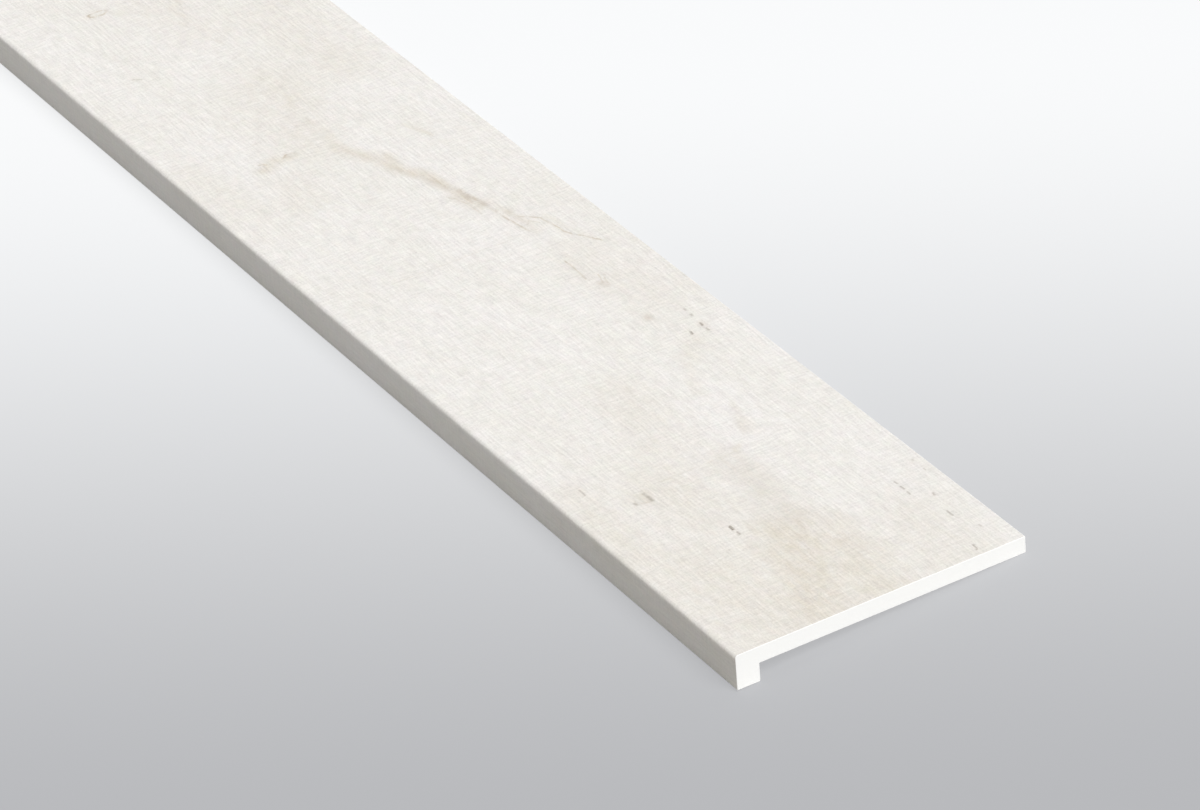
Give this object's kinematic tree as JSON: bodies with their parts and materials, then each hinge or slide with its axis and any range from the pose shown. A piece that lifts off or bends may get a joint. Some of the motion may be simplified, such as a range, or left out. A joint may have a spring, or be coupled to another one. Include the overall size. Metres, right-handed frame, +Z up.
{
  "type": "stair tread",
  "caption": "Full-width vinyl stair tread with a square nose, L-shaped in section, printed in whitewashed sawn wood with a plain white core at its cut ends.",
  "frame": {"origin": "on the floor, under the middle of the tread's footprint", "axes": "+X along the tread, +Y from the nose to the back edge, +Z up; the tread lies on the foot of its nose and its rear lower edge, so its walking surface leans back by 3.88 degrees"},
  "size_m": [1.8, 0.3218, 0.0394],
  "materials": {
    "tread": "matt printed vinyl in whitewashed sawn wood, plain white core at ends, back edge and underside"
  },
  "bodies": {
    "root": {"stair_tread": "tread"}
  },
  "joints": []
}
